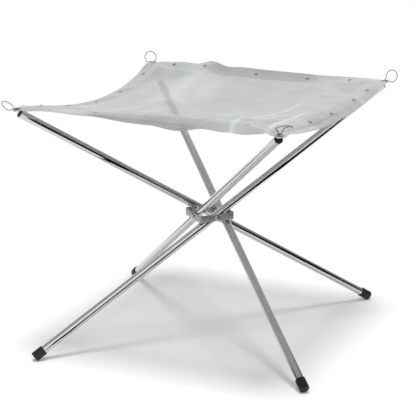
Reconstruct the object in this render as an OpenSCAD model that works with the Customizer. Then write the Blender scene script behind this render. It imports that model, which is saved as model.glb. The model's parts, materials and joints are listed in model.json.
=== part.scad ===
// Folding fire pit: four crossed tube legs riveted to a small square hub, with a
// fine steel mesh sheet held over their top ends by four wire ring clips.
// Millimetres. The origin is on the ground under the hub, with +Z up.
// Legs, corners and hub walls are numbered together, anticlockwise from above:
// leg 1 is riveted to the wall that faces -Y and holds the sheet's corner at +X.

/* [Legs] */
// Outside diameter of the leg tube
tube_d = 12.7; // [10:0.1:15]
// Wall thickness of the leg tube
tube_wall = 0.8; // [0.5:0.1:1.5]
// Length of a leg from its pivot rivet to the top end of the tube
upper_len = 348.5; // [260:0.5:450]
// Length of a leg from its pivot rivet to the ground end of its foot cap
lower_len = 356; // [260:0.5:450]
// Lean of every leg from the vertical when the stand is open, in degrees
leg_lean = 58; // [50:0.5:62]

/* [Hub] */
// Clear width inside the hub, between opposite walls
hub_clear = 55; // [50:0.5:80]
// Height of the hub's strip at its corners
strip_h = 12; // [10:0.5:14]
// Thickness of the hub's strip
strip_t = 1.2; // [0.8:0.1:2.5]
// Inside radius of the bends in the strip
bend_r = 1.5; // [0.5:0.1:4]
// Radius of the strip's round ends, about the pivot rivets
lap_r = 5; // [4.5:0.1:6]
// Diameter of the pivot rivets
rivet_d = 4; // [3:0.1:5]
// Diameter of the rivets' outer heads
rivet_head_d = 8; // [6:0.1:9]
// Height of the rivets' outer heads
rivet_head_h = 2.2; // [1:0.1:4]
// Diameter of the rivets' inner, clenched ends
rivet_tail_d = 6.4; // [5.5:0.1:8]
// Height of the rivets' inner, clenched ends
rivet_tail_h = 1.4; // [0.8:0.1:3]
// Diameter of the spacer washers
washer_d = 9.6; // [7:0.1:12]
// Thickness of the spacer washers
washer_t = 0.6; // [0.4:0.1:2]

/* [Foot caps] */
// Outside diameter of a foot cap
foot_d = 15.4; // [13.5:0.1:20]
// Length of a foot cap
foot_len = 19; // [12:0.5:30]
// Thickness of a foot cap's closed end
foot_end = 4; // [2.5:0.1:8]
// Radius of a foot cap's rounded bottom edge
foot_round = 2; // [1:0.1:4]
// Depth of the flat that a foot cap stands on
foot_flat = 0.6; // [0.2:0.1:1]

/* [Top plugs] */
// Thickness of a plug's flange
plug_flange = 1.6; // [1:0.1:3]
// Length of a plug inside the tube
plug_len = 18; // [15:0.5:30]
// Diameter of a plug's bore for the clip
plug_bore_d = 3.8; // [3.6:0.1:5]
// Depth of a plug's bore
plug_bore_depth = 12; // [8:0.5:13]
// Lean of the plug's bore from the vertical, in degrees
pin_lean = 40; // [34:1:50]

/* [Mesh sheet] */
// Thickness of one layer of mesh
sheet_t = 0.5; // [0.3:0.05:1]
// Width of the folded hem
hem_w = 28; // [15:0.5:50]
// Distance of an eyelet's centre from the two edges at its corner
eyelet_inset = 9; // [7.5:0.5:15]
// Downward tilt of the sheet at its eyelets, in degrees
eyelet_tilt = 12; // [4:1:18]
// Distance over which the sheet bends down to an eyelet
corner_len = 14; // [8:1:30]
// Greatest rise of the edge from corner 1 to corner 2, inside its hem
rise_1 = -11; // [-20:1:10]
// Greatest rise of the edge from corner 2 to corner 3, inside its hem
rise_2 = -34; // [-40:1:10]
// Greatest rise of the edge from corner 3 to corner 4, inside its hem
rise_3 = 12; // [-20:1:15]
// Greatest rise of the edge from corner 4 to corner 1, inside its hem
rise_4 = -13; // [-20:1:10]
// Upward turn of the hem from corner 1 to corner 2
curl_1 = 9; // [-10:1:10]
// Upward turn of the hem from corner 2 to corner 3
curl_2 = -5; // [-10:1:10]
// Upward turn of the hem from corner 3 to corner 4
curl_3 = -10; // [-10:1:10]
// Upward turn of the hem from corner 4 to corner 1
curl_4 = -10; // [-10:1:10]
// Distance in from an edge over which its hem turns
curl_len = 12; // [8:1:25]
// Depth of the bowl at the sheet's middle, below what its edges give
bowl_depth = 8; // [0:1:30]
// Height of the waves on the edge from corner 1 to corner 2
wave_h = 4; // [0:0.5:5]
// Length of one wave
wave_len = 72; // [50:1:120]
// Place of the tallest wave, from that edge's middle toward corner 1
wave_at = -100; // [-120:1:120]
// Distance over which the sheet lies flat about an eyelet
calm_len = 18; // [12:1:30]
// Margin of the sheet's cut corners beyond their eyelets
corner_margin = 1.5; // [1:0.5:3]

/* [Sheet fittings] */
// Outside diameter of a corner eyelet
eyelet_d = 12; // [10:0.1:14]
// Outside diameter of an eyelet's barrel
barrel_d = 7.4; // [7:0.1:9]
// Bore of an eyelet
eyelet_bore = 6.4; // [5.6:0.1:6.6]
// Thickness of an eyelet's two rims
eyelet_rim = 0.5; // [0.3:0.1:1]
// Overlap of an eyelet over the rim of the plug that it lies on
eyelet_lap = 1; // [0.5:0.1:2]
// Diameter of the hem rivets' heads
stud_d = 6; // [4:0.1:8]
// Diameter of the hem rivets' shanks
stud_shank_d = 2.4; // [1.5:0.1:3]
// Height of the hem rivets' heads
stud_head_h = 0.8; // [0.4:0.1:1.5]

/* [Ring clips] */
// Diameter of the clip's wire
wire_d = 1.4; // [1:0.1:1.6]
// Outside diameter of the clip's ring
ring_d = 22; // [18:0.5:28]
// Length of the clip's neck, from its bend to its ring
neck_len = 8; // [7:0.5:16]
// Half the spread of the neck's two wires where they meet the ring
neck_half = 6.5; // [4:0.1:8]
// Height of the clip's bend above its eyelet
bend_rise = 3.2; // [3:0.1:5]
// Gap between the clip's two prongs
prong_gap = 0.4; // [0.3:0.1:0.8]

/* [Hidden] */
// Running gap between a leg tube and the washer and rivet end beside it
side_gap = 0.1;
// Radial running clearance of a pivot rivet
pin_clear = 0.05;
// Radial clearance of the push fits at the ends of the tubes
push_clear = 0.05;
// Gap between an eyelet and the plug rim that it lies on
seat_gap = 0.3;
// Gap between an eyelet's rims and the two layers of mesh
crimp_gap = 0.05;
// Extra length of cutting shapes
cut = 1;
$fn = 48;

LEGS = [0, 1, 2, 3];
lean_sin = sin(leg_lean);
lean_cos = cos(leg_lean);
tube_r = tube_d / 2;
tube_bore = tube_d - 2 * tube_wall;
pin_hole_d = rivet_d + 2 * pin_clear;

// Distances from the hub's axis, along a leg's rivet
wall_in = hub_clear / 2;
wall_lap = wall_in + strip_t;
wall_out = wall_lap + strip_t;
pivot_off = wall_in - washer_t - side_gap - tube_r;
tail_out = pivot_off - tube_r - side_gap;

// Height of the pivots: each foot cap's round edge is cut flat at the ground
foot_r = foot_d / 2;
pivot_z = (lower_len - foot_round) * lean_cos + (foot_r - foot_round) * lean_sin
    + foot_round - foot_flat;

// Places at a leg's top end, as [outward, up] from the middle of the tube's end
plug_rim = [plug_flange * lean_sin - tube_r * lean_cos,
            plug_flange * lean_cos + tube_r * lean_sin];
eyelet_half = sheet_t + crimp_gap + eyelet_rim;
eye_up = seat_gap + eyelet_half;
eye_out = eyelet_d / 2 - eyelet_lap;
eye = plug_rim + eye_up * [sin(eyelet_tilt), cos(eyelet_tilt)]
    + eye_out * [cos(eyelet_tilt), -sin(eyelet_tilt)];
pin_dir = [sin(pin_lean), cos(pin_lean)];
// Distance down the prongs from the eyelet's centre to the plug's face
pin_reach = (eye * [lean_sin, lean_cos] - plug_flange) / cos(leg_lean - pin_lean);

// The sheet lies square to the four eyelets
tip = [upper_len * lean_sin, -pivot_off, pivot_z + upper_len * lean_cos];
eye_pos = tip + [eye[0], 0, eye[1]];
eye_half = norm([eye_pos[0], eye_pos[1]]) / sqrt(2);
sheet_half = eye_half + eyelet_inset;
sheet_turn = atan2(eye_pos[1], eye_pos[0]) - 45;
corner_drop = corner_len * tan(eyelet_tilt);

// Each edge of the sheet, from its first corner to its second: where its rise and its hem's
// turn are greatest, as 1 at the middle, more near the first corner and less near the second
RISES = [rise_1, rise_2, rise_3, rise_4];
RISE_LEAD = [1.3, 1.25, 0.45, 1.1];
CURLS = [curl_1, curl_2, curl_3, curl_4];
CURL_LEAD = [1, 6, 0.6, 1];

// Places of the hem rivets, from 1 at an edge's first eyelet to -1 at its second
STUDS = [[0.73, 0.38, -0.06, -0.51, -0.79], [0.79, 0.41, 0.04, -0.36, -0.74],
         [0.76, 0.38, 0, -0.38, -0.76], [0.75, 0.42, 0.03, -0.41, -0.69]];

// How each springy clip has settled: lean of its neck and of its ring above the
// horizontal, and its turn about its prongs, in degrees
CLIP_NECK = [-18, -20, -15, 86];
CLIP_RING = [60, 76, 47, 22];
CLIP_TURN = [90, 0, 28, 0];

LEG_NODES = ["hub_bracket", "pivot_rivet", "spacer_washer", "leg_tube", "top_plug",
             "foot_cap", "hem_rivets", "corner_eyelet", "ring_clip"];
function name(base, i) = str(base, "_", i + 1);

steel = "silver";
bright_steel = "gainsboro";
mesh_grey = "lightgray";
black = "#1c1c1c";

// The four-fold pattern about the hub's axis
module at_wall(i) rotate([0, 0, 90 * i]) children();

// A leg's own frame: the pivot at the origin and the tube along Z
module on_leg(i) at_wall(i) translate([0, -pivot_off, pivot_z]) rotate([0, leg_lean, 0]) children();

// A rivet's own frame: Z points out of the hub along the rivet, from the hub's axis
module on_rivet(i) at_wall(i) translate([0, 0, pivot_z]) rotate([90, 0, 0]) children();

// The frame of an eyelet's centre: X outward, Z up
module on_eyelet(i) at_wall(i) translate(eye_pos) children();

// One arm of a bracket, in the XY plane: from a bend at x = -run to a round end about the origin
module bracket_arm(run) {
    difference() {
        union() {
            linear_extrude(strip_t)
                polygon([[-run, -strip_h / 2], [0, -lap_r], [0, lap_r], [-run, strip_h / 2]]);
            cylinder(r = lap_r, h = strip_t);
        }
        translate([0, 0, -cut]) cylinder(d = pin_hole_d, h = strip_t + 2 * cut);
    }
}

// Corner bracket: its outer arm laps the next bracket's inner arm at each rivet
module hub_bracket(i) {
    color(steel) at_wall(i) translate([0, 0, pivot_z]) {
        translate([0, -wall_lap, 0]) rotate([90, 0, 0]) bracket_arm(wall_in - bend_r);
        translate([-wall_in, 0, 0]) rotate([90, 0, -90]) mirror([1, 0, 0])
            bracket_arm(wall_lap - bend_r);
        translate([bend_r - wall_in, bend_r - wall_lap, -strip_h / 2]) rotate([0, 0, 180])
            rotate_extrude(angle = 90) translate([bend_r, 0]) square([strip_t, strip_h]);
    }
}

// Pivot rivet: domed head outside the laps, clenched end inside the tube's far side
module pivot_rivet(i) {
    dome_r = (pow(rivet_head_d / 2, 2) + pow(rivet_head_h, 2)) / (2 * rivet_head_h);
    color(bright_steel) on_rivet(i) {
        translate([0, 0, tail_out]) cylinder(d = rivet_d, h = wall_out - tail_out);
        translate([0, 0, tail_out - rivet_tail_h]) cylinder(d = rivet_tail_d, h = rivet_tail_h);
        translate([0, 0, wall_out]) intersection() {
            cylinder(d = rivet_head_d, h = rivet_head_h);
            translate([0, 0, rivet_head_h - dome_r]) sphere(dome_r);
        }
    }
}

// Spacer washer between the hub's wall and the leg tube
module spacer_washer(i) {
    color("dimgray") on_rivet(i) translate([0, 0, wall_in - washer_t]) difference() {
        cylinder(d = washer_d, h = washer_t);
        translate([0, 0, -cut]) cylinder(d = pin_hole_d, h = washer_t + 2 * cut);
    }
}

// Leg tube, drilled across for its pivot rivet
module leg_tube(i) {
    low_end = foot_end - lower_len;
    color(bright_steel) on_leg(i) difference() {
        translate([0, 0, low_end]) cylinder(d = tube_d, h = upper_len - low_end);
        translate([0, 0, low_end - cut]) cylinder(d = tube_bore, h = upper_len - low_end + 2 * cut);
        rotate([90, 0, 0]) cylinder(d = pin_hole_d, h = tube_d + 2 * cut, center = true);
    }
}

// Top plug: a flange on the tube's end, and a blind bore for the clip's prongs
module top_plug(i) {
    color(black) difference() {
        on_leg(i) {
            translate([0, 0, upper_len]) cylinder(d = tube_d, h = plug_flange);
            translate([0, 0, upper_len - plug_len])
                cylinder(d = tube_bore - 2 * push_clear, h = plug_len);
        }
        on_eyelet(i) rotate([0, pin_lean, 0]) translate([0, 0, -pin_reach - plug_bore_depth])
            cylinder(d = plug_bore_d, h = pin_reach + plug_bore_depth);
    }
}

// Foot cap: a rubber cup pushed over the tube's lower end, flat where it meets the ground
module foot_cap(i) {
    cup_r = tube_r + push_clear;
    ground = 4 * foot_d;
    color(black) difference() {
        on_leg(i) translate([0, 0, -lower_len]) rotate_extrude() difference() {
            union() {
                translate([0, foot_round]) square([foot_r, foot_len - foot_round]);
                square([foot_r - foot_round, foot_round]);
                translate([foot_r - foot_round, foot_round]) intersection() {
                    circle(foot_round);
                    translate([0, -foot_round]) square(foot_round);
                }
            }
            translate([0, foot_end]) square([cup_r, foot_len]);
        }
        at_wall(i) translate([-lower_len * lean_sin, -pivot_off, -ground / 2])
            cube(ground, center = true);
    }
}

// A place on the sheet as [along an edge toward its first corner, out toward that edge]
function to_edge(i, x, y) = let (turn = 90 * i)
    [x * cos(turn) + y * sin(turn), y * cos(turn) - x * sin(turn)];

// And back again
function from_edge(i, p) = let (turn = 90 * i)
    [p[0] * cos(turn) - p[1] * sin(turn), p[0] * sin(turn) + p[1] * cos(turn)];

// Share of an edge's rise or turn at a place along it, 0 at both of its eyelets
function arch(s, lead) = sin(180 * pow(max(0, min(1, (1 + s) / 2)), lead));

// Share of the bowl's depth at a place across the sheet
function bell(s) = pow(cos(90 * s), 2);

// Height of the waves, which fade out on both sides of the tallest one
function wave(p) = let (s = (p - wave_at) / wave_len)
    wave_h * exp(-3 * s * s) * cos(360 * s);

// Height that one edge gives to a place on the sheet
function edge_z(i, p) = let (s = p[0] / eye_half)
    (1 + p[1] / eye_half) / 2 * (RISES[i] * arch(s, RISE_LEAD[i]) + (i == 0 ? wave(p[0]) : 0))
    + CURLS[i] * arch(s, CURL_LEAD[i]) * exp((p[1] - sheet_half) / curl_len);

// Height of the sheet above its eyelets: what its four edges give it, a shallow bowl
// between them, and corners that are drawn down flat about the eyelets
function sheet_z(x, y) =
    let (
        edges = [for (i = LEGS) edge_z(i, to_edge(i, x, y))] * [1, 1, 1, 1],
        bowl = bowl_depth * bell(x / eye_half) * bell(y / eye_half),
        away = norm([eye_half - abs(x), eye_half - abs(y)]) / calm_len,
        corner = (2 * eye_half - abs(x) - abs(y)) / sqrt(2)
    )
    (edges - bowl) * (1 - exp(-away * away)) + corner_drop * (1 - exp(-corner / corner_len));

// Grid lines across the sheet: close at the hems, even between them
GRID_CELLS = 13;
HEM_STEP = 0.5;
hem_lines = [0, hem_w / 4, hem_w / 2, hem_w - HEM_STEP];
inner_half = sheet_half - hem_w;
LINES = concat([for (s = hem_lines) s - sheet_half],
               [for (k = [0:GRID_CELLS]) inner_half * (2 * k / GRID_CELLS - 1)],
               [for (k = [len(hem_lines) - 1:-1:0]) sheet_half - hem_lines[k]]);
LINE_COUNT = len(LINES);

// The folded hem puts a second layer of mesh under the sheet's edges
function underside(x, y) = max(abs(x), abs(y)) > inner_half + HEM_STEP / 2 ? -sheet_t : 0;

// The sheet's frame: square to its edges, at the height of its eyelets
module on_sheet() rotate([0, 0, sheet_turn]) translate([0, 0, eye_pos[2]]) children();

// Places along the sheet's outline, in order, as [line across, line along]
last = LINE_COUNT - 1;
RIM = concat([for (k = [0:last - 1]) [k, 0]], [for (k = [0:last - 1]) [last, k]],
             [for (k = [0:last - 1]) [last - k, last]], [for (k = [0:last - 1]) [0, last - k]]);

function top_at(p) = p[0] * LINE_COUNT + p[1];
function under_at(p) = top_at(p) + LINE_COUNT * LINE_COUNT;

module mesh_sheet() {
    top = [for (x = LINES) for (y = LINES) [x, y, sheet_z(x, y) + sheet_t]];
    under = [for (x = LINES) for (y = LINES) [x, y, sheet_z(x, y) + underside(x, y)]];
    cells = [for (i = [0:last - 1]) for (j = [0:last - 1])
             [[i, j], [i, j + 1], [i + 1, j + 1], [i + 1, j]]];
    top_faces = [for (c = cells) each [[top_at(c[0]), top_at(c[1]), top_at(c[2])],
                                       [top_at(c[0]), top_at(c[2]), top_at(c[3])]]];
    under_faces = [for (c = cells) each [[under_at(c[2]), under_at(c[1]), under_at(c[0])],
                                         [under_at(c[3]), under_at(c[2]), under_at(c[0])]]];
    rim_faces = [for (k = [0:len(RIM) - 1]) let (a = RIM[k], b = RIM[(k + 1) % len(RIM)])
                 each [[top_at(a), top_at(b), under_at(b)], [top_at(a), under_at(b), under_at(a)]]];
    color(mesh_grey) difference() {
        on_sheet() polyhedron(concat(top, under), concat(top_faces, under_faces, rim_faces));
        for (i = LEGS) on_eyelet(i) {
            rotate([0, eyelet_tilt, 0])
                cylinder(d = barrel_d + 2 * crimp_gap, h = 4 * eyelet_d, center = true, $fn = 24);
            translate([eyelet_d / 2 + corner_margin, -2 * eyelet_d, -2 * eyelet_d]) cube(4 * eyelet_d);
        }
    }
}

// Hem rivets along one edge, each square to the sheet through both layers of its hem
module hem_rivets(i) {
    grip = 2 * sheet_t;
    probe = stud_d / 4;
    color(bright_steel) on_sheet() for (s = STUDS[i]) {
        at = from_edge(i, [s * eye_half, sheet_half - hem_w / 2]);
        slope_x = (sheet_z(at[0] + probe, at[1]) - sheet_z(at[0] - probe, at[1])) / (2 * probe);
        slope_y = (sheet_z(at[0], at[1] + probe) - sheet_z(at[0], at[1] - probe)) / (2 * probe);
        steep = norm([slope_x, slope_y]);
        translate([at[0], at[1], sheet_z(at[0], at[1])])
            rotate([0, atan(steep), atan2(-slope_y, -slope_x)]) {
            cylinder(d = stud_shank_d, h = grip, center = true);
            translate([0, 0, sheet_t]) cylinder(d = stud_d, h = stud_head_h);
            translate([0, 0, -sheet_t - stud_head_h]) cylinder(d = stud_d, h = stud_head_h);
        }
    }
}

// Corner eyelet: a barrel through both layers of mesh, with a rim above and below
module corner_eyelet(i) {
    rim_in = sheet_t + crimp_gap;
    color(steel) on_eyelet(i) rotate([0, eyelet_tilt, 0]) difference() {
        union() {
            cylinder(d = barrel_d, h = 2 * eyelet_half, center = true);
            for (side = [-1, 1]) translate([0, 0, side * (rim_in + eyelet_rim / 2)])
                cylinder(d = eyelet_d, h = eyelet_rim, center = true);
        }
        cylinder(d = eyelet_bore, h = 2 * (eyelet_half + cut), center = true);
    }
}

// A direction in a leg's plane, given its height above the horizontal in degrees
function rising(up) = [cos(up), 0, sin(up)];

// The direction across a clip, turned about such a direction
function across(up, turn) = [-sin(up) * sin(turn), cos(turn), cos(up) * sin(turn)];

function unit(v) = v / norm(v);

// Two points in place of a sharp bend at q, each a given distance from it
function bend(p, q, r, d) = [q + d * unit(p - q), q + d * unit(r - q)];

// The wire's route: up one prong, out along the neck, round the ring and back
RING_STEPS = 20;
BEND_CUT = 1;
ring_r = (ring_d - wire_d) / 2;
ring_open = asin(neck_half / ring_r);
prong_half = (wire_d + prong_gap) / 2;
prong_len = pin_reach + plug_bore_depth - seat_gap;
function clip_route(i) =
    let (
        neck = CLIP_NECK[i],
        ring = CLIP_RING[i],
        turn = CLIP_TURN[i],
        pin_up = 90 - pin_lean,
        side = prong_half * across(pin_up, turn),
        foot = -prong_len * rising(pin_up),
        knee = bend_rise * rising(pin_up),
        middle = knee + neck_len * rising(neck) + ring_r * cos(ring_open) * rising(ring),
        step = (360 - 2 * ring_open) / RING_STEPS,
        arc = [for (k = [0:RING_STEPS]) let (a = ring_open + k * step)
               middle + ring_r * (sin(a) * across(ring, turn) - cos(a) * rising(ring))],
        far = len(arc) - 1
    )
    concat([foot + side],
           bend(foot + side, knee + side, arc[0], BEND_CUT),
           bend(knee + side, arc[0], arc[1], BEND_CUT),
           [for (k = [1:far - 1]) arc[k]],
           bend(arc[far - 1], arc[far], knee - side, BEND_CUT),
           bend(arc[far], knee - side, foot - side, BEND_CUT),
           [foot - side]);

// Directions along a route at each of its points
function along(path) = [for (k = [0:len(path) - 1])
    unit(path[min(k + 1, len(path) - 1)] - path[max(k - 1, 0)])];

// Directions square to a route, carried from point to point without twist
function square_to(dirs, k, from) =
    let (here = unit(from - (from * dirs[k]) * dirs[k]))
    k == len(dirs) - 1 ? [here] : concat([here], square_to(dirs, k + 1, here));

// A round wire swept along a route
WIRE_SIDES = 6;
module wire(path, d) {
    dirs = along(path);
    ups = square_to(dirs, 0, cross(dirs[0], [0.31, 0.83, 0.47]));
    turns = [for (s = [0:WIRE_SIDES - 1]) 360 * s / WIRE_SIDES];
    points = [for (k = [0:len(path) - 1]) for (a = turns)
              path[k] + d / 2 * (cos(a) * ups[k] + sin(a) * cross(dirs[k], ups[k]))];
    end = (len(path) - 1) * WIRE_SIDES;
    walls = [for (k = [0:len(path) - 2]) for (s = [0:WIRE_SIDES - 1])
             let (a = k * WIRE_SIDES, b = a + WIRE_SIDES, n = (s + 1) % WIRE_SIDES)
             each [[a + s, b + s, b + n], [a + s, b + n, a + n]]];
    caps = [for (s = [1:WIRE_SIDES - 2]) each [[0, s, s + 1], [end, end + s + 1, end + s]]];
    polyhedron(points, concat(walls, caps));
}

// Ring clip: one springy wire, its two prongs through the eyelet into the plug's bore
module ring_clip(i) {
    color(steel) on_eyelet(i) wire(clip_route(i), wire_d);
}

mesh_sheet();
for (i = LEGS) {
    hub_bracket(i);
    pivot_rivet(i);
    spacer_washer(i);
    leg_tube(i);
    top_plug(i);
    foot_cap(i);
    hem_rivets(i);
    corner_eyelet(i);
    ring_clip(i);
}
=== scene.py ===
"""Folding fire pit: a mesh sheet clipped to the tops of four crossed tube legs.

Metres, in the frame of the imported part: the origin is on the ground under the hub, with +Z up.
Legs, corners and hub walls are numbered together from 1, anticlockwise from above.
"""

import json
import math

import bmesh
import bpy
from mathutils import Matrix, Vector, noise


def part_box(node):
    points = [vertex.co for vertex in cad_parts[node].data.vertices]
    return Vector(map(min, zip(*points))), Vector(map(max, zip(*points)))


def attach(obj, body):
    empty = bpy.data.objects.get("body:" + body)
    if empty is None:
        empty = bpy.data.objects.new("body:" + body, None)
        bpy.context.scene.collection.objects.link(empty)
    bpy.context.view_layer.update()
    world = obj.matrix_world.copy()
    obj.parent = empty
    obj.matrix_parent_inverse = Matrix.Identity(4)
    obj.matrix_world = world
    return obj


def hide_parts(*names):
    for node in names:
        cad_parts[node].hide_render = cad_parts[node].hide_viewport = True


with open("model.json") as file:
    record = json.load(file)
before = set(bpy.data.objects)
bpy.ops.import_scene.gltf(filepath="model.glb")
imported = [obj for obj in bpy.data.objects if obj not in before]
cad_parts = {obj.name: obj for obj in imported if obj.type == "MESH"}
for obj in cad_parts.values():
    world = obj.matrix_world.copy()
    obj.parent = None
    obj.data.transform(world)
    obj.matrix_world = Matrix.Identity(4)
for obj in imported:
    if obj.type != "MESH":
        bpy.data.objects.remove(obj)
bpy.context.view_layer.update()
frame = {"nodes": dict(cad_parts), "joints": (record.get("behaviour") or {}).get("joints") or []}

scene = bpy.context.scene
scene.view_settings.view_transform = "Standard"

MM = 0.001
LEGS = range(4)
UP = Vector((0, 0, 1))

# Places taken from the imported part
FOLD = next(j for j in frame["joints"] if j["name"] == "fold")
PIVOT = Vector(FOLD["pos_m"])
LEAN = math.radians(FOLD["range_deg"][1])
EYE = sum(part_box("corner_eyelet_1"), Vector()) / 2


def numbered(base, leg):
    """A node's, piece's or body's name at one leg."""
    return f"{base}_{leg + 1}"


def at_wall(leg):
    """The four-fold pattern about the hub's axis."""
    return Matrix.Rotation(math.radians(90 * leg), 4, "Z")


def on_leg(leg):
    """A leg's own frame: the pivot at the origin and the tube along Z."""
    return at_wall(leg) @ Matrix.Translation(PIVOT) @ Matrix.Rotation(LEAN, 4, "Y")


def on_rivet(leg):
    """A pivot rivet's own frame: Z points out of the hub, from the hub's axis."""
    return at_wall(leg) @ Matrix.Translation((0, 0, PIVOT.z)) @ Matrix.Rotation(math.radians(90), 4, "X")


def on_eyelet(leg):
    """The frame of an eyelet's centre: X outward, Z up."""
    return at_wall(leg) @ Matrix.Translation(EYE)


# Camera: the photograph's view, from a fit to the feet, the pivots and the tube tops.
# The lens and the sensor are in mm, the roll is in radians, and the azimuth is from the -Y side.
VIEW_AZIMUTH = math.radians(-22.57)
VIEW_ELEVATION = math.radians(15.88)
VIEW_ROLL = -0.0096
VIEW_DISTANCE = 2.312
VIEW_TARGET = Vector((-2.28, 0.95, 203.9)) * MM
VIEW_LENS = 126.3
SENSOR_W = 36


def photo_camera():
    back = Vector((math.sin(VIEW_AZIMUTH) * math.cos(VIEW_ELEVATION),
                   -math.cos(VIEW_AZIMUTH) * math.cos(VIEW_ELEVATION),
                   math.sin(VIEW_ELEVATION)))
    data = bpy.data.cameras.new("photo_camera")
    data.lens = VIEW_LENS
    data.sensor_width = SENSOR_W
    camera = bpy.data.objects.new("photo_camera", data)
    turn = (-back).to_track_quat("-Z", "Y").to_matrix() @ Matrix.Rotation(VIEW_ROLL, 3, "Z")
    camera.matrix_world = Matrix.LocRotScale(VIEW_TARGET + back * VIEW_DISTANCE, turn.to_quaternion(), None)
    scene.collection.objects.link(camera)
    scene.camera = camera


# Materials


def srgb(code):
    """An sRGB hex colour as linear RGBA."""
    parts = [int(code[k:k + 2], 16) / 255 for k in (1, 3, 5)]
    return (*(p / 12.92 if p <= 0.04045 else ((p + 0.055) / 1.055) ** 2.4 for p in parts), 1)


def add(tree, kind, inputs=None, **settings):
    """Adds a node with its settings. An input is a value, or another node's output to link."""
    made = tree.nodes.new(kind)
    for key, value in settings.items():
        setattr(made, key, value)
    for key, value in (inputs or {}).items():
        if isinstance(value, bpy.types.NodeSocket):
            tree.links.new(value, made.inputs[key])
        else:
            made.inputs[key].default_value = value
    return made


def new_material(name):
    """An empty material and its node tree."""
    material = bpy.data.materials.new(name)
    material.use_nodes = True
    material.node_tree.nodes.clear()
    return material, material.node_tree


def finish_material(tree, shader):
    """Puts a shader on the surface."""
    add(tree, "ShaderNodeOutputMaterial", {"Surface": shader.outputs[0]})


# Woven stainless mesh: plain weave of drawn wire, satin grey, with light through its gaps.
# The real wires are about 0.3 mm apart. They are drawn coarser, so that the weave shows.
WEAVE_PITCH = 1.7 * MM
# Blender's wave texture runs through this many radians in a unit of length
WAVE_RATE = 20
# Share of the light that passes in the middle of a gap between wires
GAP_SHARE = 0.6
# Light that the wires scatter goes through the weave too, so its shadow is lighter than its face
SHADOW_SHARE = 0.74
# Width of the faint uneven patches that handling leaves
HANDLED_W = 40 * MM


def woven_mesh():
    material, tree = new_material("woven_stainless_mesh")
    place = add(tree, "ShaderNodeUVMap", uv_map="cloth")
    scale = math.tau / (WAVE_RATE * WEAVE_PITCH)
    warp = add(tree, "ShaderNodeTexWave", {"Vector": place.outputs[0], "Scale": scale}, bands_direction="X")
    weft = add(tree, "ShaderNodeTexWave", {"Vector": place.outputs[0], "Scale": scale}, bands_direction="Y")
    woven = add(tree, "ShaderNodeMath", {0: warp.outputs[1], 1: weft.outputs[1]}, operation="MAXIMUM")
    patches = add(tree, "ShaderNodeTexNoise",
                  {"Vector": place.outputs[0], "Scale": 1 / HANDLED_W, "Detail": 3.0})
    tint = add(tree, "ShaderNodeValToRGB", {"Fac": patches.outputs[0]})
    tint.color_ramp.elements[0].position = 0.3
    tint.color_ramp.elements[0].color = srgb("#babdbd")
    tint.color_ramp.elements[1].position = 0.7
    tint.color_ramp.elements[1].color = srgb("#cacdcd")
    # The tone attribute scales the mesh's colour; it holds the painted highlights along the folds
    tone = add(tree, "ShaderNodeAttribute", attribute_name="tone")
    colour = add(tree, "ShaderNodeVectorMath",
                 {0: tint.outputs[0], "Scale": tone.outputs["Fac"]}, operation="SCALE")
    bump = add(tree, "ShaderNodeBump", {"Height": woven.outputs[0], "Strength": 0.35, "Distance": 0.2 * MM})
    gap = add(tree, "ShaderNodeMapRange", {"Value": woven.outputs[0], "To Min": GAP_SHARE, "To Max": 0.0})
    layers = add(tree, "ShaderNodeAttribute", attribute_name="layers")
    gaps = add(tree, "ShaderNodeMath", {0: gap.outputs[0], 1: layers.outputs["Fac"]}, operation="POWER")
    cover = add(tree, "ShaderNodeMath", {0: 1.0, 1: gaps.outputs[0]}, operation="SUBTRACT")
    path = add(tree, "ShaderNodeLightPath")
    light = add(tree, "ShaderNodeMath",
                {0: path.outputs["Is Shadow Ray"], 1: path.outputs["Is Diffuse Ray"]}, operation="MAXIMUM")
    share = add(tree, "ShaderNodeMapRange",
                {"Value": light.outputs[0], "To Min": 1.0, "To Max": SHADOW_SHARE})
    alpha = add(tree, "ShaderNodeMath", {0: cover.outputs[0], 1: share.outputs[0]}, operation="MULTIPLY")
    shader = add(tree, "ShaderNodeBsdfPrincipled",
                 {"Base Color": colour.outputs[0], "Metallic": 0.5, "Roughness": 0.5,
                  "Alpha": alpha.outputs[0], "Normal": bump.outputs[0]})
    finish_material(tree, shader)
    return material


# Draw lines along a tube and brushing streaks along a strip. Both are finer on the real steel,
# and are drawn this wide so that they show. The stretch makes them long.
DRAW_LINE_W = 0.8 * MM
DRAW_LINE_STRETCH = (1, 1, 0.01)
STREAK_W = 0.5 * MM
STREAK_STRETCH = (0.06, 0.06, 1)


def polished_tube(leg):
    """Stainless tube, drawn and polished: a near mirror with faint lengthwise draw lines."""
    material, tree = new_material(numbered("polished_stainless_tube", leg))
    place = add(tree, "ShaderNodeTexCoord")
    own = add(tree, "ShaderNodeMapping",
              {"Vector": place.outputs["Object"], "Location": on_leg(leg).to_translation(),
               "Rotation": on_leg(leg).to_euler()}, vector_type="TEXTURE")
    stretch = add(tree, "ShaderNodeMapping", {"Vector": own.outputs[0], "Scale": DRAW_LINE_STRETCH})
    lines = add(tree, "ShaderNodeTexNoise",
                {"Vector": stretch.outputs[0], "Scale": 1 / DRAW_LINE_W, "Detail": 2.0})
    rough = add(tree, "ShaderNodeMapRange", {"Value": lines.outputs[0], "To Min": 0.03, "To Max": 0.08})
    bump = add(tree, "ShaderNodeBump", {"Height": lines.outputs[0], "Strength": 0.02, "Distance": 0.05 * MM})
    shader = add(tree, "ShaderNodeBsdfPrincipled",
                 {"Base Color": srgb("#d3d3d1"), "Metallic": 1.0, "Roughness": rough.outputs[0],
                  "Normal": bump.outputs[0]})
    finish_material(tree, shader)
    return material


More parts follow.
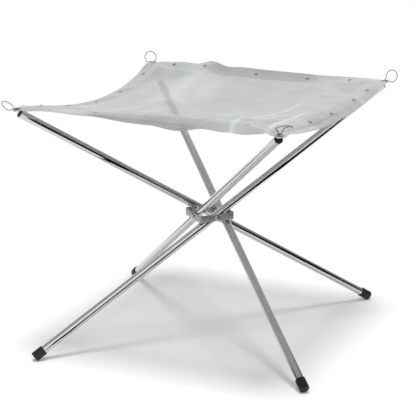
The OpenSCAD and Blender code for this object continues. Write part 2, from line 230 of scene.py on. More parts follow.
def brushed_strip():
    """Stainless strip, rolled and brushed: satin, with short streaks along the strip."""
    material, tree = new_material("brushed_stainless_strip")
    place = add(tree, "ShaderNodeTexCoord")
    stretch = add(tree, "ShaderNodeMapping", {"Vector": place.outputs["Object"], "Scale": STREAK_STRETCH})
    streaks = add(tree, "ShaderNodeTexNoise",
                  {"Vector": stretch.outputs[0], "Scale": 1 / STREAK_W, "Detail": 3.0})
    rough = add(tree, "ShaderNodeMapRange", {"Value": streaks.outputs[0], "To Min": 0.48, "To Max": 0.64})
    bump = add(tree, "ShaderNodeBump",
               {"Height": streaks.outputs[0], "Strength": 0.15, "Distance": 0.05 * MM})
    shader = add(tree, "ShaderNodeBsdfPrincipled",
                 {"Base Color": srgb("#c0c1c0"), "Metallic": 1.0, "Roughness": rough.outputs[0],
                  "Normal": bump.outputs[0]})
    finish_material(tree, shader)
    return material


# Width of the handling marks on small steel pieces, and of the scuffs on mouldings
MARK_W = 1.5 * MM
SCUFF_W = 4 * MM


def mottled_steel(name, colour, low, high, metal=1.0):
    """Pressed or drawn steel: smooth, with faint uneven handling marks between two roughnesses."""
    material, tree = new_material(name)
    place = add(tree, "ShaderNodeTexCoord")
    marks = add(tree, "ShaderNodeTexNoise",
                {"Vector": place.outputs["Object"], "Scale": 1 / MARK_W, "Detail": 4.0})
    rough = add(tree, "ShaderNodeMapRange", {"Value": marks.outputs[0], "To Min": low, "To Max": high})
    bump = add(tree, "ShaderNodeBump", {"Height": marks.outputs[0], "Strength": 0.08, "Distance": 0.1 * MM})
    shader = add(tree, "ShaderNodeBsdfPrincipled",
                 {"Base Color": srgb(colour), "Metallic": metal, "Roughness": rough.outputs[0],
                  "Normal": bump.outputs[0]})
    finish_material(tree, shader)
    return material


def dark_moulding(name, colours, grain, roughs, depth):
    """Dark moulded rubber or plastic: a fine matt grain and faint paler scuffs."""
    material, tree = new_material(name)
    place = add(tree, "ShaderNodeTexCoord")
    grit = add(tree, "ShaderNodeTexNoise",
               {"Vector": place.outputs["Object"], "Scale": 1 / grain, "Detail": 3.0})
    scuffs = add(tree, "ShaderNodeTexNoise",
                 {"Vector": place.outputs["Object"], "Scale": 1 / SCUFF_W, "Detail": 5.0})
    tint = add(tree, "ShaderNodeValToRGB", {"Fac": scuffs.outputs[0]})
    tint.color_ramp.elements[0].position = 0.45
    tint.color_ramp.elements[0].color = srgb(colours[0])
    tint.color_ramp.elements[1].position = 0.75
    tint.color_ramp.elements[1].color = srgb(colours[1])
    rough = add(tree, "ShaderNodeMapRange",
                {"Value": scuffs.outputs[0], "To Min": roughs[0], "To Max": roughs[1]})
    bump = add(tree, "ShaderNodeBump", {"Height": grit.outputs[0], "Strength": 0.3, "Distance": depth})
    shader = add(tree, "ShaderNodeBsdfPrincipled",
                 {"Base Color": tint.outputs[0], "Roughness": rough.outputs[0], "Normal": bump.outputs[0]})
    finish_material(tree, shader)
    return material


# Pieces

# Points closer than these are one, on a shape made here and on a CAD node's loose triangles
MERGE_DIST = 1e-7
CAD_MERGE_DIST = 1e-6
# Faces that turn by less than the first angle lie in one plane, and edges sharper than the second
# are rounded
FLAT_ANGLE = math.radians(0.5)
SHARP_ANGLE = math.radians(40)
BRACKET_EDGE = 0.25 * MM
PLUG_EDGE = 0.3 * MM


def new_object(name, bm, material):
    """Makes an object of a finished bmesh."""
    mesh = bpy.data.meshes.new(name)
    bm.to_mesh(mesh)
    bm.free()
    mesh.materials.append(material)
    made = bpy.data.objects.new(name, mesh)
    scene.collection.objects.link(made)
    return made


def piece(name, bm, material, body, slot, *nodes):
    """Makes a smooth piece of a finished bmesh, on its body, in place of its CAD nodes."""
    made = new_object(name, bm, material)
    made.data.shade_smooth()
    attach(made, body)
    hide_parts(*nodes)
    return made


def arc(centre, radius, start, end, count):
    """Points of an arc as (radius from the axis, height), from one angle to another in degrees."""
    angles = [math.radians(start + (end - start) * k / count) for k in range(count + 1)]
    return [(centre[0] + radius * math.cos(a), centre[1] + radius * math.sin(a)) for a in angles]


def turned(profile, steps, closed=False):
    """A shape turned about Z from a profile of (radius, height) points."""
    bm = bmesh.new()
    verts = [bm.verts.new((r, 0, z)) for r, z in profile]
    pairs = zip(verts, verts[1:] + verts[:1]) if closed else zip(verts, verts[1:])
    edges = [bm.edges.new(pair) for pair in pairs]
    bmesh.ops.spin(bm, geom=verts + edges, axis=UP, cent=(0, 0, 0), angle=math.tau, steps=steps,
                   use_merge=True)
    bmesh.ops.remove_doubles(bm, verts=bm.verts, dist=MERGE_DIST)
    bmesh.ops.recalc_face_normals(bm, faces=bm.faces)
    return bm


def softened(node, name, material, body, slot, edge):
    """A CAD node's own shape, with its sharp edges rounded as deburring leaves them."""
    bm = bmesh.new()
    bm.from_mesh(frame["nodes"][node].data)
    bmesh.ops.remove_doubles(bm, verts=bm.verts, dist=CAD_MERGE_DIST)
    bmesh.ops.dissolve_limit(bm, angle_limit=FLAT_ANGLE, verts=bm.verts, edges=bm.edges)
    made = piece(name, bm, material, body, slot, node)
    rounding = made.modifiers.new("rounding", "BEVEL")
    rounding.width = edge
    rounding.segments = 2
    rounding.limit_method = "ANGLE"
    rounding.angle_limit = SHARP_ANGLE
    rounding.harden_normals = True


def repaint(node, material):
    """Gives its material to a CAD node that is shown as it is."""
    solid = frame["nodes"][node].data
    solid.materials.clear()
    solid.materials.append(material)


# Leg sizes
TUBE_R = 6.35 * MM
LOWER_LEN = 356 * MM

# Foot cap: a cup with a rounded bottom edge and a rolled lip, cut off level with the ground
FOOT_R = 7.7 * MM
FOOT_GAP = 0.05 * MM
FOOT_LEN = 19 * MM
FOOT_END = 4 * MM
FOOT_ROUND = 2 * MM
FOOT_LIP = 0.6 * MM


def foot_cap(leg, material):
    inner = TUBE_R + FOOT_GAP
    profile = [(0, 0)]
    profile += arc((FOOT_R - FOOT_ROUND, FOOT_ROUND), FOOT_ROUND, -90, 0, 8)
    profile += arc((FOOT_R - FOOT_LIP, FOOT_LEN - FOOT_LIP), FOOT_LIP, 0, 90, 5)
    profile += [(inner, FOOT_LEN - FOOT_LIP / 4), (inner, FOOT_END), (0, FOOT_END)]
    bm = turned(profile, steps=64)
    place = on_leg(leg) @ Matrix.Translation((0, 0, -LOWER_LEN))
    bmesh.ops.transform(bm, matrix=place, verts=bm.verts)
    cut = bmesh.ops.bisect_plane(bm, geom=bm.verts[:] + bm.edges[:] + bm.faces[:], plane_co=(0, 0, 0),
                                 plane_no=(0, 0, -1), clear_outer=True)
    rim = [g for g in cut["geom_cut"] if isinstance(g, bmesh.types.BMEdge)]
    bmesh.ops.contextual_create(bm, geom=rim)
    piece(numbered("rubber_foot", leg), bm, material, numbered("leg", leg), "foot_rubber",
          numbered("foot_cap", leg))


# Pivot rivet: a domed head on the laps and a clenched end behind the tube
RIVET_R = 2 * MM
RIVET_HEAD_H = 2.2 * MM
RIVET_TAIL_R = 3.2 * MM
RIVET_TAIL_H = 1.4 * MM
RIVET_ROUND = 0.35 * MM
# The dome's arc stops this many degrees short of the head's edge, which is rounded
DOME_STOP = 4


def pivot_rivet(leg, material):
    low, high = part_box("pivot_rivet_1")
    top, tail = -low.y, -high.y
    head_r = (high.x - low.x) / 2
    seat = top - RIVET_HEAD_H
    dome_r = (head_r ** 2 + RIVET_HEAD_H ** 2) / (2 * RIVET_HEAD_H)
    dome_edge = math.degrees(math.asin((dome_r - RIVET_HEAD_H) / dome_r))
    profile = arc((0, top - dome_r), dome_r, 90, dome_edge + DOME_STOP, 10)
    profile += [(head_r, seat + RIVET_ROUND), (head_r - RIVET_ROUND / 2, seat)]
    profile += [(RIVET_R, seat), (RIVET_R, tail + RIVET_TAIL_H)]
    profile += arc((RIVET_TAIL_R - RIVET_ROUND, tail + RIVET_TAIL_H - RIVET_ROUND), RIVET_ROUND, 90, 0, 3)
    profile += arc((RIVET_TAIL_R - RIVET_ROUND, tail + RIVET_ROUND), RIVET_ROUND, 0, -90, 3)
    profile += [(0, tail)]
    # The dome's top goes exactly on the axis
    profile[0] = (0, top)
    bm = turned(profile, steps=40)
    bmesh.ops.transform(bm, matrix=on_rivet(leg), verts=bm.verts)
    piece(numbered("domed_pivot_rivet", leg), bm, material, "hub", "rivet_steel",
          numbered("pivot_rivet", leg))


# Corner eyelet: a rolled rim above and below the two layers of mesh
EYELET_TILT = math.radians(12)
EYELET_R = 6 * MM
EYELET_BORE_R = 3.2 * MM
EYELET_BARREL_R = 3.7 * MM
EYELET_HALF = 1.05 * MM
EYELET_GRIP = 0.55 * MM
EYELET_FLARE = 0.7 * MM


def corner_eyelet(leg, material):
    roll = (EYELET_HALF - EYELET_GRIP) / 2
    half = arc((EYELET_BORE_R + EYELET_FLARE, EYELET_HALF - EYELET_FLARE), EYELET_FLARE, 180, 90, 5)
    half += arc((EYELET_R - roll, EYELET_GRIP + roll), roll, 90, -90, 6)
    half += [(EYELET_BARREL_R, EYELET_GRIP)]
    profile = half + [(r, -z) for r, z in reversed(half)]
    bm = turned(profile, steps=48, closed=True)
    place = on_eyelet(leg) @ Matrix.Rotation(EYELET_TILT, 4, "Y")
    bmesh.ops.transform(bm, matrix=place, verts=bm.verts)
    piece(numbered("rolled_eyelet", leg), bm, material, "sheet", "eyelet_steel",
          numbered("corner_eyelet", leg))


# Ring clip: one wire, up a prong, out along the neck, round the ring and back
PIN_LEAN = math.radians(40)
WIRE_D = 1.4 * MM
RING_R = 10.3 * MM
NECK_LEN = 8 * MM
NECK_HALF = 6.5 * MM
BEND_RISE = 3.2 * MM
PRONG_HALF = 0.9 * MM
PRONG_LEN = 16.6 * MM
BEND_CUT = 1.6 * MM
RING_STEPS = 48
# Lean of each neck and ring above the horizontal, and the turn about the prongs, in degrees
CLIP_NECK = (-18, -20, -15, 86)
CLIP_RING = (60, 76, 47, 22)
CLIP_TURN = (90, 0, 28, 0)


def rising(up):
    """The direction at an angle above the horizontal, outward from the hub."""
    return Vector((math.cos(up), 0, math.sin(up)))


def across(up, turn):
    """A direction at right angles to rising(up), turned about it."""
    return Vector((-math.sin(up) * math.sin(turn), math.cos(turn), math.cos(up) * math.sin(turn)))


def clip_route(leg):
    """The wire's points about the eyelet's centre, with its bends cut short."""
    neck, ring, turn = (math.radians(a[leg]) for a in (CLIP_NECK, CLIP_RING, CLIP_TURN))
    pin = math.radians(90) - PIN_LEAN
    side = PRONG_HALF * across(pin, turn)
    foot = -PRONG_LEN * rising(pin)
    knee = BEND_RISE * rising(pin)
    gap = math.asin(NECK_HALF / RING_R)
    middle = knee + NECK_LEN * rising(neck) + RING_R * math.cos(gap) * rising(ring)
    angles = [gap + (math.tau - 2 * gap) * k / RING_STEPS for k in range(RING_STEPS + 1)]
    loop = [middle + RING_R * (math.sin(a) * across(ring, turn) - math.cos(a) * rising(ring)) for a in angles]
    corners = [foot + side, knee + side, *loop, knee - side, foot - side]
    route = [corners[0]]
    for before, here, after in zip(corners, corners[1:], corners[2:]):
        if (before - here).length > BEND_CUT or (after - here).length > BEND_CUT:
            for end in (before, after):
                cut = min(BEND_CUT, (end - here).length / 2)
                route.append(here + (end - here).normalized() * cut)
        else:
            route.append(here)
    return route + [corners[-1]]


def ring_clip(leg, material):
    curve = bpy.data.curves.new("wire", "CURVE")
    curve.dimensions = "3D"
    curve.bevel_depth = WIRE_D / 2
    curve.bevel_resolution = 3
    curve.use_fill_caps = True
    curve.resolution_u = 3
    route = [on_eyelet(leg) @ p for p in clip_route(leg)]
    spline = curve.splines.new("NURBS")
    spline.points.add(len(route) - 1)
    for point, place in zip(spline.points, route):
        point.co = (*place, 1)
    spline.order_u = 3
    spline.use_endpoint_u = True
    shape = bpy.data.objects.new("wire", curve)
    bm = bmesh.new()
    bm.from_mesh(shape.to_mesh())
    shape.to_mesh_clear()
    bpy.data.objects.remove(shape)
    bmesh.ops.remove_doubles(bm, verts=bm.verts, dist=MERGE_DIST)
    bmesh.ops.recalc_face_normals(bm, faces=bm.faces)
    piece(numbered("wire_ring_clip", leg), bm, material, numbered("clip", leg), "clip_wire",
          numbered("ring_clip", leg))


# Mesh sheet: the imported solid's surface, with the folds, creases and dents of the real one
SHEET_T = 0.5 * MM
HEM_W = 28 * MM
EYELET_INSET = 9 * MM
CORNER_LEN = 14 * MM
CALM_LEN = 18 * MM
CORNER_MARGIN = 1.5 * MM
BOWL_DEPTH = 8 * MM
WAVE_H = 4 * MM
WAVE_LEN = 72 * MM
WAVE_AT = -100 * MM
WAVE_FADE = 3
CURL_LEN = 12 * MM
# Each edge's greatest rise and its hem's upward turn, in mm, and where these are greatest:
# 1 at the middle, more near the edge's first corner and less near its second
RISES = (-11, -34, 12, -13)
RISE_LEAD = (1.3, 1.25, 0.45, 1.1)
CURLS = (9, -5, -10, -10)
CURL_LEAD = (1, 6, 0.6, 1)
EYE_HALF = math.hypot(EYE.x, EYE.y) / math.sqrt(2)
SHEET_HALF = EYE_HALF + EYELET_INSET
SHEET_TURN = math.atan2(EYE.y, EYE.x) - math.radians(45)
CORNER_DROP = CORNER_LEN * math.tan(EYELET_TILT)
ON_SHEET = Matrix.Translation((0, 0, EYE.z)) @ Matrix.Rotation(SHEET_TURN, 4, "Z")
CORNERS = ((1, 1), (-1, 1), (-1, -1), (1, -1))

# Creases fan out from each corner: height and reach in mm, the ridges and hollows in the quarter turn,
# and the phase in degrees
CREASES = ((0.3, 70, 3, 20), (1.0, 70, 5, 80), (1.8, 90, 6, 200), (1.2, 95, 6, 140))
# Straight folds: both ends in mm from the sheet's middle, height and half width in mm.
# Each fold's ridge is painted brighter, a painted highlight: the share of brightness that each mm of height
# adds.
FOLDS = (((144, -260), (128, 80), 2, 4),
         ((197, -235), (176, -10), 2, 4),
         ((168, -200), (150, -60), 1, 4),
         ((-60, -190), (-85, 20), 0.9, 9),
         ((-115, -150), (-125, 60), 0.9, 7),
         ((-165, -175), (-190, 10), 1.1, 5),
         ((60, -150), (40, 40), 0.7, 12),
         ((-110, 30), (-90, 220), 1.2, 45))
FOLD_PAINTED_HIGHLIGHT = 0.27
# The front hem hangs down in places: the place along its edge, half the stretch, and the drop in mm.
# Places and stretches are shares of the way from the edge's middle to its eyelets.
HANGS = ((-0.25, 0.65, 6.5), (0.15, 0.25, 2), (-0.27, 0.2, 4), (-0.65, 0.22, 5.5), (-0.8, 0.17, 5))
HANG_EDGE = 2
HANG_LEN = 6 * MM
# Soft dents all over the sheet: height and width
DENT_H = 1.4 * MM
DENT_W = 70 * MM


def to_edge(edge, x, y):
    """A place on the sheet as (along an edge toward its first corner, out toward that edge)."""
    return Matrix.Rotation(math.radians(-90 * edge), 2) @ Vector((x, y))


def from_edge(edge, along, out):
    """The place on the sheet that to_edge() gives as (along, out)."""
    return Matrix.Rotation(math.radians(90 * edge), 2) @ Vector((along, out))


def arch(s, lead):
    """Share of an edge's rise or turn at a place along it, 0 at both of its eyelets."""
    return math.sin(math.pi * max(0, min(1, (1 + s) / 2)) ** lead)


def bell(s):
    """1 at the middle, falling to 0 at -1 and 1."""
    return math.cos(math.pi / 2 * max(-1, min(1, s))) ** 2


def wave(along):
    """Height of the ripple in the first edge, which fades to both sides of its place."""
    s = (along - WAVE_AT) / WAVE_LEN
    return WAVE_H * math.exp(-WAVE_FADE * s * s) * math.cos(math.tau * s)


def edge_height(edge, along, out):
    """Height that one edge gives to a place on the sheet."""
    s = along / EYE_HALF
    rise = RISES[edge] * MM * arch(s, RISE_LEAD[edge]) + (wave(along) if edge == 0 else 0)
    curl = CURLS[edge] * MM * arch(s, CURL_LEAD[edge]) * math.exp((out - SHEET_HALF) / CURL_LEN)
    return (1 + out / EYE_HALF) / 2 * rise + curl


def calm(x, y):
    """0 at an eyelet, where the sheet lies flat, to 1 away from it."""
    away = math.hypot(EYE_HALF - abs(x), EYE_HALF - abs(y)) / CALM_LEN
    return 1 - math.exp(-away * away)


def hung(x, y):
    """Height of the sheet above its eyelets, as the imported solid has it."""
    edges = sum(edge_height(edge, *to_edge(edge, x, y)) for edge in LEGS)
    bowl = BOWL_DEPTH * bell(x / EYE_HALF) * bell(y / EYE_HALF)
    corner = (2 * EYE_HALF - abs(x) - abs(y)) / math.sqrt(2)
    return (edges - bowl) * calm(x, y) + CORNER_DROP * (1 - math.exp(-corner / CORNER_LEN))


def fold_height(x, y, start, end, tall, wide):
    """Height of a straight ridge that rises from its two ends to its middle."""
    start, end = Vector(start) * MM, Vector(end) * MM
    run = end - start
    share = max(0, min(1, (Vector((x, y)) - start).dot(run) / run.length_squared))
    off = (Vector((x, y)) - start - share * run).length / (wide * MM)
    return tall * MM * 4 * share * (1 - share) * math.exp(-off * off)


def hanging(x, y):
    """Height that the front hem's droop takes off, which fades away from that edge."""
    along, out = to_edge(HANG_EDGE, x, y)
    drop = sum(deep * bell((along / EYE_HALF - place) / half) for place, half, deep in HANGS)
    return -drop * MM * math.exp((out - SHEET_HALF) / HANG_LEN)


def all_folds(x, y):
    """Height of all the straight folds."""
    return sum(fold_height(x, y, *fold) for fold in FOLDS)


def creases(x, y):
    """Height of all the folds, creases and dents, and of the front hem's droop."""
    height = DENT_H * noise.noise(Vector((x, y, 0)) / DENT_W) + hanging(x, y) + all_folds(x, y)
    for (side_x, side_y), (tall, reach, folds, phase) in zip(CORNERS, CREASES):
        out = Vector((EYE_HALF * side_x - x, EYE_HALF * side_y - y))
        near = out.length / (reach * MM)
        turn = math.atan2(out.y * side_y, out.x * side_x) * 2 * folds
        height += tall * MM * near * math.exp(1 - 2 * near) * math.sin(turn + math.radians(phase))
    return height


def sheet_place(x, y, layer):
    """Where a place on the flat sheet comes to lie, with a layer's height above its middle."""
    return ON_SHEET @ Vector((x, y, hung(x, y) + creases(x, y) + layer))


SHEET_CELLS = 230
# More than 1 sets the grid's lines closer together toward the edges
EDGE_CROWDING = 1.25
# From an eyelet's centre to the cut across its corner
CORNER_REACH = EYELET_R + CORNER_MARGIN
OUTLINE_SLACK = 0.01 * MM
HOLE_R = 4.4 * MM
# A hole's rim is ragged until it is rounded, and lies this near to the eyelet's centre
RAGGED_R = 1.6 * HOLE_R
# Within this distance of its tips the sheet is as dense as several layers, and a little paler
CORNER_PATCH = 95 * MM
CORNER_LAYERS = 3
PATCH_TONE = 1.07
# Brightness of the hems, with 1 for the rest of the sheet, and of stretches that lie in shade or catch
# more light. For each edge: the place along it, half of the stretch, the width from the edge in mm
# and the brightness.
HEM_TONE = 1.15
HEM_STRETCHES = (((-0.32, 0.35, 28, 1.06), (0.2, 0.4, 28, 1.06)),
                 ((0.2, 0.16, 28, 1.12), (0.63, 0.18, 28, 1.12)),
                 ((0.2, 0.3, 5, 0.96), (-0.2, 0.45, 5, 0.96), (-0.75, 0.4, 20, 1.17)),
                 ((-0.35, 0.3, 28, 1.21),))


def on_outline(place):
    """Whether a place on the flat sheet is on its edges or on the cut across a corner."""
    toward_corner = (abs(place.x) + abs(place.y)) / math.sqrt(2)
    square = max(abs(place.x), abs(place.y)) > SHEET_HALF - OUTLINE_SLACK
    return square or toward_corner > EYE_HALF * math.sqrt(2) + CORNER_REACH - OUTLINE_SLACK


def crowded(place):
    """Where an even grid's line goes, closer to the edges."""
    share = place / SHEET_HALF
    return SHEET_HALF * math.copysign(1 - max(0, 1 - abs(share)) ** EDGE_CROWDING, share)


def layer_count(x, y):
    """Layers that the mesh looks like: the dense corners hide more of what is behind them."""
    inward = (2 * SHEET_HALF - abs(x) - abs(y)) / math.sqrt(2)
    return CORNER_LAYERS if inward < CORNER_PATCH else 1


def mesh_tone(x, y):
    """Brightness of the mesh at a place, with 1 for a plain single layer."""
    edge = max(LEGS, key=lambda e: to_edge(e, x, y)[1])
    along, out = to_edge(edge, x, y)
    tone = HEM_TONE if out > SHEET_HALF - HEM_W else 1
    for place, half, wide, bright in HEM_STRETCHES[edge]:
        if out > SHEET_HALF - wide * MM:
            tone += (bright - tone) * min(1, 2 * bell((along / EYE_HALF - place) / half))
    if layer_count(x, y) > 1:
        tone *= PATCH_TONE
    # The folds' ridges are painted brighter along their height: a painted highlight
    return tone * (1 + FOLD_PAINTED_HIGHLIGHT * all_folds(x, y) / MM)


def flat_sheet(bm):
    """Makes the sheet before it is hung: its corners cut off, and a round hole for each eyelet."""
    bmesh.ops.create_grid(bm, x_segments=SHEET_CELLS, y_segments=SHEET_CELLS, size=SHEET_HALF)
    for v in bm.verts:
        v.co = (crowded(v.co.x), crowded(v.co.y), 0)
    eyes = [Vector((EYE_HALF * sx, EYE_HALF * sy, 0)) for sx, sy in CORNERS]
    for eye in eyes:
        outward = eye.normalized()
        bmesh.ops.bisect_plane(bm, geom=bm.verts[:] + bm.edges[:] + bm.faces[:], plane_no=outward,
                               plane_co=eye + outward * CORNER_REACH, clear_outer=True)
    holed = [f for f in bm.faces if any((f.calc_center_median() - e).length < HOLE_R for e in eyes)]
    bmesh.ops.delete(bm, geom=holed, context="FACES")
    for eye in eyes:
        rim = [v for v in bm.verts if v.is_boundary and (v.co - eye).length < RAGGED_R]
        for v in rim:
            v.co = eye + (v.co - eye).normalized() * HOLE_R


def double_hem(bm):
    """Adds the hem's under layer. Gives its vertices and the open edges to join it along."""
    hem = [f for f in bm.faces if max(abs(c) for c in f.calc_center_median()[:2]) > SHEET_HALF - HEM_W]
    under = bmesh.ops.duplicate(bm, geom=hem)["geom"]
    under_faces = [g for g in under if isinstance(g, bmesh.types.BMFace)]
    under_verts = {g for g in under if isinstance(g, bmesh.types.BMVert)}
    bmesh.ops.reverse_faces(bm, faces=under_faces)
    outer = [e for e in bm.edges if e.is_boundary and all(on_outline(v.co) for v in e.verts)]
    return under_verts, outer


def mesh_sheet(material):
    """The hung sheet, with its flat map, and the brightness and layers that its material reads."""
    bm = bmesh.new()
    # The layers come first, because adding one later ends the hold on vertices found before it
    tone = bm.verts.layers.float.new("tone")
    layers = bm.verts.layers.float.new("layers")
    flat = bm.loops.layers.uv.new("cloth")
    flat_sheet(bm)
    under_verts, outer = double_hem(bm)
    for v in bm.verts:
        v[tone] = mesh_tone(v.co.x, v.co.y)
        v[layers] = layer_count(v.co.x, v.co.y)
    for face in bm.faces:
        for corner in face.loops:
            corner[flat].uv = corner.vert.co.xy
    for v in bm.verts:
        layer = (-0.5 if v in under_verts else 0.5) * SHEET_T
        v.co = sheet_place(v.co.x, v.co.y, layer)
    bmesh.ops.bridge_loops(bm, edges=outer)
    made = piece("woven_mesh_sheet", bm, material, "sheet", "mesh_steel", "mesh_sheet")


# Hem rivets: low domed heads on both faces of the hem, placed along each edge
# from 1 at its first eyelet to -1 at its second
STUDS = ((0.73, 0.38, -0.06, -0.51, -0.79), (0.79, 0.41, 0.04, -0.36, -0.74),
         (0.76, 0.38, 0, -0.38, -0.76), (0.75, 0.42, 0.03, -0.41, -0.69))
STUD_R = 3 * MM
STUD_SHANK_R = 1.2 * MM
STUD_HEAD_H = 0.8 * MM
STUD_SEAT = 0.4 * MM
# The sheet's slope under a rivet is taken between places this far to each side
PROBE = 1 * MM


def hem_rivets(edge, material):
    dome = [(0, STUD_SEAT + STUD_HEAD_H)]
    dome += arc((STUD_R - STUD_HEAD_H, STUD_SEAT), STUD_HEAD_H, 80, 0, 5)
    dome += [(STUD_SHANK_R, STUD_SEAT)]
    profile = dome + [(r, -z) for r, z in reversed(dome)]
    bm = bmesh.new()
    for along in STUDS[edge]:
        x, y = from_edge(edge, along * EYE_HALF, SHEET_HALF - HEM_W / 2)
        slope_x = (sheet_place(x + PROBE, y, 0) - sheet_place(x - PROBE, y, 0)).normalized()
        slope_y = (sheet_place(x, y + PROBE, 0) - sheet_place(x, y - PROBE, 0)).normalized()
        stand = slope_x.cross(slope_y).to_track_quat("Z", "Y").to_matrix().to_4x4()
        one = turned(profile, steps=24)
        bmesh.ops.transform(one, matrix=Matrix.Translation(sheet_place(x, y, 0)) @ stand, verts=one.verts)
        mesh = bpy.data.meshes.new("stud")
        one.to_mesh(mesh)
        one.free()
        bm.from_mesh(mesh)
        bpy.data.meshes.remove(mesh)
    piece(numbered("hem_rivet_row", edge), bm, material, "sheet", "rivet_steel",
          numbered("hem_rivets", edge))


# Studio: a pale floor, a soft lamp overhead, a grey room, and black cards round the object that draw
# the dark lines along the tubes
FLOOR_R = 20
# The floor is matt up to the first distance from the hub, where it takes the shadow, and plain white
# from the second. The lift is a little light of its own.
FLOOR_NEAR = 0.27
FLOOR_FAR = 0.45
FLOOR_LIFT = 0.06
# The lamp's direction as toward() takes it, its width in degrees and its strength
LAMP_PLACE = (0, 87)
LAMP_WIDTH = 16
LAMP_STRENGTH = 1.88
ROOM_LEVEL = 0.4
# Parts of the room that are brighter or darker than its level: above the camera, behind the object and
# to the right. Each has its brightness, its direction as toward() takes it, and the angles from that
# direction at which it starts and is full.
ROOM_PARTS = ((1.05, (8, 30), (40, 25)), (0.95, (180, 5), (45, 30)), (0.2, (85, 15), (50, 20)))
# Cards by the direction in degrees, distance and height of each of their posts, in metres
CARDS = (((-47, 0.3, 0.05), (-47, 0.23, 0.05), (-12, 0.27, 0.1), (5, 0.33, 0.13), (15, 0.37, 0.13)),
         ((-8, 0.5, 0.1), (0, 0.5, 0.2), (6, 0.5, 0.28), (21, 0.5, 0.43), (45, 0.5, 0.36), (52, 0.5, 0.26),
          (62, 0.47, 0.28), (74, 0.42, 0.31), (84, 0.4, 0.27), (95, 0.38, 0.21), (105, 0.36, 0.16)),
         ((-145, 0.7, 0.12), (-117, 0.7, 0.12)))


def toward(azimuth, elevation):
    """A direction from the object: degrees right of the camera's side, and degrees up."""
    turn = VIEW_AZIMUTH + math.radians(azimuth)
    up = math.radians(elevation)
    return Vector((math.sin(turn) * math.cos(up), -math.cos(turn) * math.cos(up), math.sin(up)))


def floor():
    """The ground, whose white is only what eyes and mirrors see, not light on the object."""
    material, tree = new_material("pale_floor")
    place = add(tree, "ShaderNodeTexCoord")
    away = add(tree, "ShaderNodeVectorMath", {0: place.outputs["Object"]}, operation="LENGTH")
    far = add(tree, "ShaderNodeMapRange",
              {"Value": away.outputs["Value"], "From Min": FLOOR_NEAR, "From Max": FLOOR_FAR},
              interpolation_type="SMOOTHSTEP")
    path = add(tree, "ShaderNodeLightPath")
    seen = add(tree, "ShaderNodeMath",
               {0: path.outputs["Is Camera Ray"], 1: path.outputs["Is Glossy Ray"]}, operation="MAXIMUM")
    seen = add(tree, "ShaderNodeMath",
               {0: seen.outputs[0], 1: path.outputs["Is Transmission Ray"]}, operation="MAXIMUM")
    white = add(tree, "ShaderNodeMath", {0: seen.outputs[0], 1: far.outputs[0]}, operation="MULTIPLY")
    lift = add(tree, "ShaderNodeMath", {0: seen.outputs[0], 1: FLOOR_LIFT}, operation="MULTIPLY")
    matt = add(tree, "ShaderNodeBsdfDiffuse", {"Color": srgb("#f4f4f4")})
    glow = add(tree, "ShaderNodeEmission", {"Strength": lift.outputs[0]})
    near = add(tree, "ShaderNodeAddShader", {0: matt.outputs[0], 1: glow.outputs[0]})
    plain = add(tree, "ShaderNodeEmission", {"Strength": 1.0})
    mixed = add(tree, "ShaderNodeMixShader", {0: white.outputs[0], 1: near.outputs[0], 2: plain.outputs[0]})
    finish_material(tree, mixed)
    bm = bmesh.new()
    bmesh.ops.create_circle(bm, cap_ends=True, segments=64, radius=FLOOR_R)
    made = new_object("floor", bm, material)


def lamp():
    """A wide lamp whose own image doesn't show in the tubes."""
    data = bpy.data.lights.new("lamp", "SUN")
    data.angle = math.radians(LAMP_WIDTH)
    data.energy = LAMP_STRENGTH
    made = bpy.data.objects.new("lamp", data)
    made.location = toward(*LAMP_PLACE)
    made.rotation_euler = toward(*LAMP_PLACE).to_track_quat("Z", "Y").to_euler()
    made.visible_glossy = False
    scene.collection.objects.link(made)


def black_cards():
    """Cards that only reflections show."""
    material, tree = new_material("black_card")
    finish_material(tree, add(tree, "ShaderNodeBsdfDiffuse", {"Color": srgb("#0c0c0c")}))
    bm = bmesh.new()
    for card in CARDS:
        posts = []
        for azimuth, distance, height in card:
            foot = toward(azimuth, 0) * distance
            posts.append([bm.verts.new(foot), bm.verts.new(foot + UP * height)])
        for before, after in zip(posts, posts[1:]):
            bmesh.ops.contextual_create(bm, geom=before + after)
    made = new_object("black_cards", bm, material)
    for rays in ("camera", "diffuse", "transmission", "shadow"):
        setattr(made, f"visible_{rays}", False)


def room():
    """The light that comes from all round, plain white where the camera sees it."""
    world = bpy.data.worlds.new("room")
    world.use_nodes = True
    tree = world.node_tree
    tree.nodes.clear()
    place = add(tree, "ShaderNodeTexCoord")
    level = ROOM_LEVEL
    for bright, direction, spread in ROOM_PARTS:
        near = add(tree, "ShaderNodeVectorMath", {0: place.outputs["Generated"], 1: toward(*direction)},
                   operation="DOT_PRODUCT")
        edge, core = (math.cos(math.radians(a)) for a in spread)
        patch = add(tree, "ShaderNodeMapRange",
                    {"Value": near.outputs["Value"], "From Min": edge, "From Max": core, "To Min": 0.0,
                     "To Max": bright - ROOM_LEVEL}, interpolation_type="SMOOTHSTEP")
        level = add(tree, "ShaderNodeMath", {0: level, 1: patch.outputs[0]}, operation="ADD").outputs[0]
    path = add(tree, "ShaderNodeLightPath")
    lit = add(tree, "ShaderNodeBackground", {"Color": (1, 1, 1, 1), "Strength": level})
    plain = add(tree, "ShaderNodeBackground", {"Color": (1, 1, 1, 1), "Strength": 1.0})
    mixed = add(tree, "ShaderNodeMixShader",
                {0: path.outputs["Is Camera Ray"], 1: lit.outputs[0], 2: plain.outputs[0]})
    add(tree, "ShaderNodeOutputWorld", {"Surface": mixed.outputs[0]})
    scene.world = world


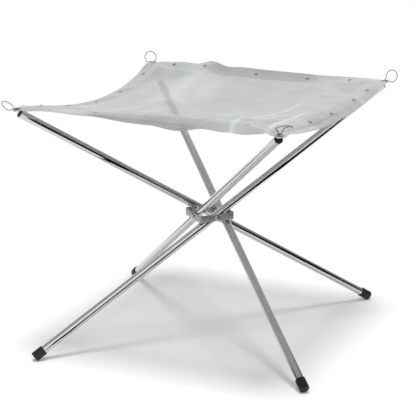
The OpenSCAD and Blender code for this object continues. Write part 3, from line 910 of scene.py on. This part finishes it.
photo_camera()
floor()
lamp()
black_cards()
room()

mesh_steel = woven_mesh()
strip_steel = brushed_strip()
# Cold-headed steel, left bright: small sharp highlights
rivet_steel = mottled_steel("bright_rivet_steel", "#c4c4c2", 0.16, 0.34)
# Zinc-plated steel: grey, with broad soft highlights
stud_steel = mottled_steel("zinc_stud_steel", "#b0b0ae", 0.3, 0.5)
# The front row's zinc has dulled to a chalky grey, as pale as the mesh round it
dull_steel = mottled_steel("dulled_zinc_stud_steel", "#d8d9d9", 0.5, 0.65, metal=0.4)
# Pressed steel with nickel plate: bright, and faintly warm
eyelet_steel = mottled_steel("pressed_nickel_steel", "#bdbcb8", 0.14, 0.3)
# Drawn spring wire: bright, and darker than the plated pieces
wire_steel = mottled_steel("drawn_spring_wire", "#9c9c9a", 0.2, 0.34)
# Moulded rubber: deep black and matt
black_rubber = dark_moulding("moulded_black_rubber", ("#161616", "#242424"),
                             grain=0.4 * MM, roughs=(0.45, 0.65), depth=0.1 * MM)
# Moulded plastic: black, with a dull sheen
black_plastic = dark_moulding("moulded_black_plastic", ("#121212", "#1c1c1c"),
                              grain=0.6 * MM, roughs=(0.3, 0.45), depth=0.05 * MM)
# Moulded nylon: dark grey, with a duller sheen
grey_nylon = dark_moulding("moulded_grey_nylon", ("#4c4c4a", "#565654"),
                           grain=0.6 * MM, roughs=(0.4, 0.55), depth=0.05 * MM)

mesh_sheet(mesh_steel)
for leg in LEGS:
    repaint(numbered("leg_tube", leg), polished_tube(leg))
    repaint(numbered("spacer_washer", leg), grey_nylon)
    softened(numbered("hub_bracket", leg), numbered("bent_bracket", leg), strip_steel, "hub",
             "hub_steel", BRACKET_EDGE)
    softened(numbered("top_plug", leg), numbered("flanged_plug", leg), black_plastic, numbered("leg", leg),
             "plug_plastic", PLUG_EDGE)
    foot_cap(leg, black_rubber)
    pivot_rivet(leg, rivet_steel)
    corner_eyelet(leg, eyelet_steel)
    hem_rivets(leg, dull_steel if leg == HANG_EDGE else stud_steel)
    ring_clip(leg, wire_steel)
